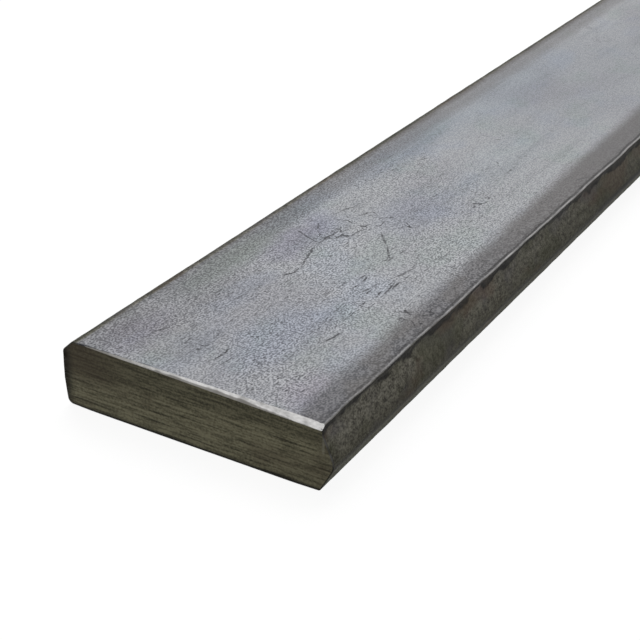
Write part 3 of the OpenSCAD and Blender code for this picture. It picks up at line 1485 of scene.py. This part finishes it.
    def _lip(self, g: Graph, place: Wire, girth: Wire, reach: Wire) -> tuple[Wire, Wire, Wire]:
        """Mark the lip.

        Args:
            g: The material's tree.
            place: Where it is read, in metres.
            girth: How far from the lip it is read, round the section.
            reach: How far from the filed end it is read.

        Returns:
            The painted shadow under the lip, the painted highlight along the lip's ridge, and the lap's
            groove inside it, which is painted with shade.
        """
        wobble = g.noise(place, 4 * MM, 3.0, 31.0, (2.0, 1.0, 1.0)) - 0.5
        patchy = g.noise(place, 6 * MM, 2.0, 32.0).rise(0.34, 0.6)
        ragged = g.noise(place, 1.2 * MM, 2.0, 33.0, (1.5, 1.0, 1.0)).rise(0.3, 0.6)
        lumpy = g.noise(place, 8 * MM, 3.0, 34.0, (1.8, 1.0, 1.0), 0.6).rise(0.42, 0.68)
        low_side = girth + wobble * (2.0 * MM) + lumpy * (1.7 * MM)
        close = girth + wobble * (0.6 * MM)
        # Painted shadow: the band under the lip, which its overhang shades.
        under = low_side.rise(-1.3 * MM, -0.6 * MM) * close.fall(-0.3 * MM, -0.05 * MM)
        lap = under * (ragged * 0.2 + 0.78)
        grown = reach.rise(15 * MM, 60 * MM) * 0.4 + 0.6
        # The ridge's bright line is a painted highlight.
        ridge = abs(close - 0.06 * MM).fall(0.07 * MM, 0.28 * MM) * (patchy * 0.6 + 0.3) * grown
        groove = abs(close - 0.62 * MM).fall(0.12 * MM, 0.36 * MM) * (patchy * 0.4 + 0.6) * grown
        return lap, ridge, groove

    def _with_cut_rims(self, g: Graph, place: Wire, girth: Wire, reach: Wire, colour: Wire) -> Wire:
        """Darken the skin's last edge at both ends, and brighten it along the nosed edge's corner at the
        filed end, as wear and a painted highlight.

        Args:
            g: The material's tree.
            place: Where it is read, in metres.
            girth: How far from the lip it is read, round the section.
            reach: How far from the filed end it is read.
            colour: The skin's colour.

        Returns:
            The colour with its rims.
        """
        rough = g.noise(place, 1.6 * MM, 2.0, 41.0).rise(0.35, 0.6)
        far = self.body.length
        rim = reach.fall(0.1 * MM, 0.4 * MM).larger(reach.rise(far - 0.4 * MM, far))
        colour = g.mixed(rim * (rough * 0.4 + 0.4), colour, self.lap)
        # A brighter line down the corner where the nosed edge meets the filed end: wear, with a painted
        # highlight.
        wear_and_highlight = girth.band(-7.0 * MM, -1.8 * MM, 0.8 * MM) * reach.fall(0.05 * MM, 0.3 * MM)
        return g.mixed(wear_and_highlight * rough * 0.4, colour, self.ridge)


@dataclass(frozen=True)
class SawnSteel:
    """The sawn ends: fine lines across the bar, dulled to a brownish grey.

    Attributes:
        body: The bar's sizes, which say where its edges lie.
        light: The crest of a saw line.
        dark: The bottom of a saw line.
        rust: The brown tint of its older patches.
        pit: The dark spots, the darker rim along the upright edge, and the painted shade along the foot.
        burr: The thin bright line beside the nosed edge, a painted highlight.
        rough: The shader's roughness in the hollows.
        metal: How much of the metal shows.
        relief: Depth of what is too fine for the mesh.
    """

    body: FlatBar
    light: Colour = (0.203, 0.190, 0.122)
    dark: Colour = (0.039, 0.036, 0.022)
    rust: Colour = (0.058, 0.044, 0.029)
    pit: Colour = (0.009, 0.0085, 0.007)
    burr: Colour = (0.25, 0.24, 0.19)
    rough: float = 0.6
    metal: float = 0.45
    relief: float = 0.04 * MM

    def material(self) -> bpy.types.Material:
        """Make the material.

        Returns:
            The material.
        """
        material, g = Graph.of_material("sawn_steel")
        place = g.place()
        nosed, upright = self.body.low.y, self.body.high.y
        _, y, z = g.split(place)
        wobble = g.noise(place, 7 * MM, 3.0, 55.0, (1.0, 2.5, 1.0)) - 0.5
        deep = (z + wobble * (3 * MM) + y * 0.05).fall(6.2 * MM, 8.6 * MM) * 0.75 + 0.25
        lines = 1 - saw_lines(g, place, self.body.saw_pitch).rise(0.25, 0.8)
        fine = g.noise(place, 0.34 * MM, 0.0, 51.0, (1.0, 14.0, 1.0))
        grit = g.noise(place, 0.32 * MM, 2.0, 52.0, (1.0, 1.3, 1.0))
        texture = (fine * 0.45 + grit * 0.55).rise(0.34, 0.66)
        cut = (lines * 0.30 + texture * 0.70) * deep + texture * (1 - deep) * 0.5
        colour = g.mixed(cut, self.dark, self.light)
        old = g.noise(place, 8 * MM, 3.0, 53.0, (1.0, 1.8, 1.0)).rise(0.5, 0.66) * 0.5
        corner = (y + wobble * (9 * MM)).rise(6 * MM, 22 * MM) * z.rise(3 * MM, 8 * MM) * 0.65
        colour = g.mixed(old.larger(corner), colour, self.rust)
        pits = g.strokes(place, (9 * MM, 3.4 * MM, 1.6 * MM), 0.09, 0.17, 54.0)
        # Darker towards the upright edge.
        rim = (y + wobble * (1.0 * MM)).rise(upright - 2.4 * MM, upright - 0.4 * MM) * 0.8
        # Painted shade along the foot of the sawn end, where it meets the floor.
        low = (z - wobble * (0.5 * MM)).fall(0.3 * MM, 0.85 * MM) * 0.95
        # A painted highlight: a thin bright streak down the end, beside the nosed edge.
        burr = y.band(nosed + 1.65 * MM, nosed + 2.05 * MM, 0.15 * MM) * z.band(7 * MM, 10.2 * MM, 0.6 * MM)
        colour = g.mixed(burr * 0.45, colour, self.burr)
        colour = g.mixed(pits.larger(rim).larger(low), colour, self.pit)
        finish = {
            "Base Color": colour,
            "Roughness": self.rough - cut * 0.12,
            "Metallic": self.metal,
            "Specular IOR Level": SHEEN,
        }
        g.surfaced(cut - pits * 2.0, self.relief, 0.5, finish)
        return material


@dataclass(frozen=True)
class FiledSteel:
    """The filed strip: bright bare steel with a few fine scratches.

    Attributes:
        body: The bar's sizes, which say where its upper face lies.
        light: The metal where it is brightest.
        dark: The metal where it is dulled.
        dimmed: The metal where the strip is darker: towards the upright edge, where it runs out, and low on
            the strip.
        rough: The shader's roughness in the scratches.
        metal: How much of the metal shows.
        relief: Depth of the scratches, which are too fine for the mesh.
    """

    body: FlatBar
    light: Colour = (0.86, 0.85, 0.84)
    dark: Colour = (0.36, 0.355, 0.35)
    soiled: Colour = (0.15, 0.14, 0.125)
    rough: float = 0.45
    metal: float = 0.8
    relief: float = 0.02 * MM

    def material(self) -> bpy.types.Material:
        """Make the material.

        Returns:
            The material.
        """
        material, g = Graph.of_material("filed_steel")
        place = g.place()
        scratches = g.noise(place, 0.3 * MM, 2.0, 61.0, (2.0, 3.0, 1.0)).rise(0.3, 0.7)
        worn = g.noise(place, 3.2 * MM, 3.0, 62.0).rise(0.3, 0.62)
        _, y, z = g.split(place)
        cut = scratches * 0.35 + worn * 0.65
        wide = y.fall(-23 * MM, -3 * MM) * (0.85 * MM)
        depth = self.body.high.z - z - wide - (worn - 0.5) * (0.16 * MM)
        # Darker towards the upright edge and low on the strip.
        dull = (y.rise(2 * MM, 20 * MM) * 0.9).larger(depth.rise(0.2 * MM, 0.42 * MM) * 0.8)
        finish = {
            "Base Color": g.mixed(dull, g.mixed(cut, self.dark, self.light), self.soiled),
            "Roughness": self.rough - cut * 0.1,
            "Metallic": self.metal,
        }
        g.surfaced(cut, self.relief, 0.3, finish)
        return material


@dataclass(frozen=True)
class Studio:
    """The pale floor, the soft light above the bar and the camera.

    Attributes:
        lens: The camera's lens, in mm.
        sensor: Width of the camera's sensor, in mm.
        before: How far the camera stands before the filed end.
        aside: How far it stands to the nosed edge's side of the bar's middle.
        above: How far it stands above the floor.
        heading: The direction in which it looks, in degrees from +X towards +Y.
        dip: How far it looks down, in degrees.
        roll: How far it is turned about its view, in degrees.
        floor_side: Length of the floor's sides.
        floor_grey: The floor, as it lights the bar from below.
        floor_shade: The floor, as it takes the bar's shadow.
        floor_glow: What makes the shaded floor white.
        lamp_side: Length of the soft lamp's sides.
        lamp_power: Power of the soft lamp, in watts.
        lamp_place: Where the soft lamp hangs, in lengths of the bar.
        fill: Strength of the light from all round.
    """

    lens: float = 80.0
    sensor: float = 36.0
    before: float = 152.84 * MM
    aside: float = 106.78 * MM
    above: float = 122.24 * MM
    heading: float = 29.04
    dip: float = 28.12
    roll: float = 1.79
    floor_side: float = 6.0
    floor_grey: Colour = (0.28, 0.28, 0.28)
    floor_shade: Colour = (0.2, 0.2, 0.2)
    floor_glow: float = 0.91
    lamp_side: float = 1.1
    lamp_power: float = 9.5
    lamp_place: tuple[float, float, float] = (1.0, 0.8, 1.9)
    fill: float = 0.25

    def set_up(self, bar: FlatBar) -> None:
        """Make the floor, the light and the camera round the bar.

        Args:
            bar: The bar's sizes.
        """
        self._floor()
        self._light(bar)
        self._camera(bar)
        bpy.context.scene.view_settings.view_transform = "Standard"

    @staticmethod
    def _seen(g: Graph) -> Wire:
        """Tell what the camera sees, also in metal or glass, from what lights the bar.

        Args:
            g: The tree of the floor's material or of the room.

        Returns:
            1 for what the camera sees.
        """
        path = g.node("ShaderNodeLightPath")
        names = ("Is Camera Ray", "Is Glossy Ray", "Is Transmission Ray")
        camera, glossy, through = (g.wire(path, n) for n in names)
        return camera.larger(glossy).larger(through)

    def _floor(self) -> None:
        """Make the floor, white to the eye, which keeps a soft shadow."""
        half = self.floor_side / 2
        mesh = bpy.data.meshes.new("floor")
        corners = [(-half, -half, 0.0), (half, -half, 0.0), (half, half, 0.0), (-half, half, 0.0)]
        mesh.from_pydata(corners, [], [(0, 1, 2, 3)])
        floor = bpy.data.objects.new("floor", mesh)
        bpy.context.scene.collection.objects.link(floor)
        material, g = Graph.of_material("floor")
        plain = g.wire(g.node("ShaderNodeBsdfDiffuse", inputs={"Color": (*self.floor_grey, 1.0)}))
        shaded = g.wire(g.node("ShaderNodeBsdfDiffuse", inputs={"Color": (*self.floor_shade, 1.0)}))
        glow = g.wire(g.node("ShaderNodeEmission", inputs={"Color": WHITE, "Strength": self.floor_glow}))
        white = g.wire(g.node("ShaderNodeAddShader", inputs={0: shaded, 1: glow}))
        mixed = g.node("ShaderNodeMixShader", inputs={0: self._seen(g), 1: plain, 2: white})
        g.node("ShaderNodeOutputMaterial", inputs={"Surface": g.wire(mixed)})
        mesh.materials.append(material)

    def _light(self, bar: FlatBar) -> None:
        """Hang the soft lamp above the bar, and light the room evenly.

        Args:
            bar: The bar's sizes.
        """
        data = bpy.data.lights.new("soft_lamp", "AREA")
        data.shape = "SQUARE"
        data.size = self.lamp_side
        data.energy = self.lamp_power
        lamp = bpy.data.objects.new("soft_lamp", data)
        lamp.location = tuple(bar.length * share for share in self.lamp_place)
        lamp.rotation_euler = lamp.location.to_track_quat("Z", "Y").to_euler()
        bpy.context.scene.collection.objects.link(lamp)
        world = bpy.data.worlds.new("room")
        world.use_nodes = True
        bpy.context.scene.world = world
        g = Graph(world.node_tree)
        even = g.wire(g.node("ShaderNodeBackground", inputs={"Color": WHITE, "Strength": self.fill}))
        white = g.wire(g.node("ShaderNodeBackground", inputs={"Color": WHITE, "Strength": 1.0}))
        mixed = g.node("ShaderNodeMixShader", inputs={0: self._seen(g), 1: even, 2: white})
        g.node("ShaderNodeOutputWorld", inputs={"Surface": g.wire(mixed)})

    def _camera(self, bar: FlatBar) -> None:
        """Stand the camera before the filed end, looking along the bar and down on it.

        Args:
            bar: The bar's sizes.
        """
        data = bpy.data.cameras.new("camera")
        data.lens = self.lens
        data.sensor_width = self.sensor
        data.clip_start = 0.01
        camera = bpy.data.objects.new("camera", data)
        camera.location = (bar.low.x - self.before, -self.aside, self.above)
        level = Euler((math.radians(90.0 - self.dip), 0.0, math.radians(self.heading - 90.0)))
        turn = Euler((0.0, 0.0, math.radians(self.roll))).to_matrix()
        camera.rotation_euler = (level.to_matrix() @ turn).to_euler()
        bpy.context.scene.collection.objects.link(camera)
        bpy.context.scene.camera = camera


def main() -> None:
    """Build the studio and the bar, and report each piece."""
    logging.basicConfig(level=logging.INFO, format="%(name)s: %(message)s")
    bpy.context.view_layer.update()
    body = FlatBar()
    Studio().set_up(body)
    log.info("studio: floor, soft lamp and camera")
    bar = body.build()
    materials = {
        Patch.SKIN: RolledSkin(body).material(),
        Patch.SAWN: SawnSteel(body).material(),
        Patch.FILED: FiledSteel(body).material(),
    }
    MillMarks().press_into(bar, body, materials)
    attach(bar, "root")
    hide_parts(NODE)
    log.info("bar: %d faces", len(bar.data.polygons))


if __name__ == "__main__":
    main()
